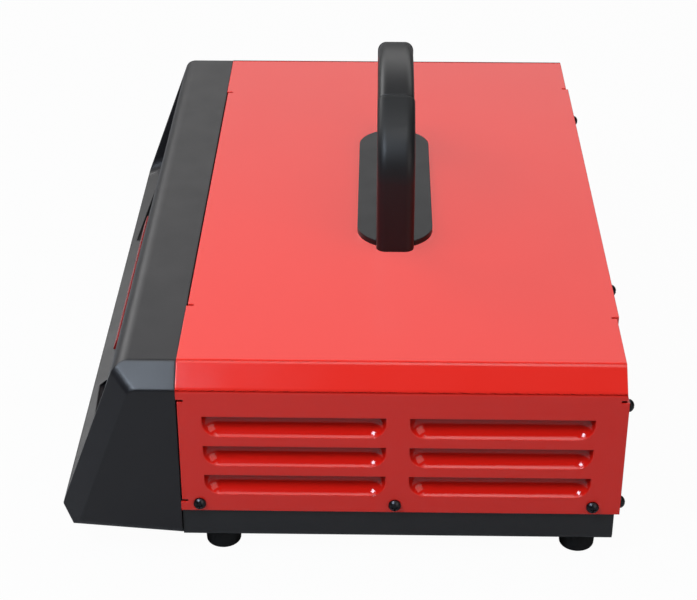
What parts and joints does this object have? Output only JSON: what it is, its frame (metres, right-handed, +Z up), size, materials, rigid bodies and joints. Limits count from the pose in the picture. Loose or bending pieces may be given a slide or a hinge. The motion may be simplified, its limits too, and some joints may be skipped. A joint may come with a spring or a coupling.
{
  "type": "workshop battery charger",
  "caption": "Bench battery charger: red folded sheet cover with pressed side louvres, raked black moulded front, carrying handle and rubber feet.",
  "frame": {"origin": "centre of the bounding box at the level the rubber feet stand on", "axes": "+X across the width, +Y from the raked front towards the rear panel, +Z up; the front faces -Y"},
  "size_m": [0.4464, 0.3123, 0.2096],
  "materials": {
    "red_powder": "semi-gloss powder coat",
    "black_powder": "satin powder coat",
    "bezel_black": "fine textured moulding",
    "panel_black": "satin",
    "red_plastic": "gloss",
    "display_glass": "gloss",
    "grey_button": "satin",
    "socket_red": "satin",
    "socket_black": "satin",
    "board_green": "solder mask",
    "handle_black": "satin moulding",
    "grip_black": "soft satin moulding",
    "zinc_steel": "zinc plated",
    "black_steel": "black oxide",
    "foot_rubber": "matte",
    "fan_black": "satin",
    "wire_chrome": "plated wire",
    "rocker_black": "gloss",
    "core_steel": "varnished laminations",
    "coil_winding": "enamelled copper",
    "pillar_brass": "turned",
    "sink_aluminium": "extruded",
    "chip_black": "moulded epoxy",
    "can_aluminium": "sleeved can"
  },
  "bodies": {
    "charger": {"cover": "red_powder", "base_tray": "black_powder", "rear_panel": "black_powder", "bezel": "bezel_black", "control_panel": "panel_black", "accent_strip": "red_plastic", "display_window": "display_glass", "positive_socket": "socket_red", "negative_socket": "socket_black", "control_board": "board_green", "handle_plate": "handle_black", "handle_arch": "handle_black", "handle_grip": "grip_black", "handle_bolts": "zinc_steel", "side_screws": "black_steel", "rear_screws": "black_steel", "feet": "foot_rubber", "foot_screws": "zinc_steel", "fan_frame": "fan_black", "fan_guard": "wire_chrome", "fan_screws": "black_steel", "mains_inlet": "socket_black", "rocker_housing": "socket_black", "fuse_holder": "socket_black", "transformer_core": "core_steel", "transformer_coil": "coil_winding", "transformer_clamp": "zinc_steel", "power_board": "board_green", "board_pillars": "pillar_brass", "heat_sink": "sink_aluminium", "rectifiers": "chip_black", "capacitors": "can_aluminium"},
    "mode_button": {"mode_button": "grey_button"},
    "start_button": {"start_button": "grey_button"},
    "fan_rotor": {"fan_rotor": "fan_black"},
    "rocker": {"rocker": "rocker_black"}
  },
  "joints": [
    {"name": "mode_button_press", "type": "slide", "parent": "charger", "child": "mode_button", "axis": [0, 0.9367, -0.3502], "range_m": [0, 0.0015], "stiffness_N_per_m": 400, "springref_m": -0.0005},
    {"name": "start_button_press", "type": "slide", "parent": "charger", "child": "start_button", "axis": [0, 0.9367, -0.3502], "range_m": [0, 0.0015], "stiffness_N_per_m": 400, "springref_m": -0.0005},
    {"name": "fan_spin", "type": "hinge", "parent": "charger", "child": "fan_rotor", "pos_m": [-0.118, 0.14025, 0.0749], "axis": [0, 1, 0], "continuous": true},
    {"name": "rocker_tilt", "type": "hinge", "parent": "charger", "child": "rocker", "pos_m": [0.062, 0.14875, 0.0827], "axis": [0, 0, 1], "range_deg": [0, 16]}
  ]
}
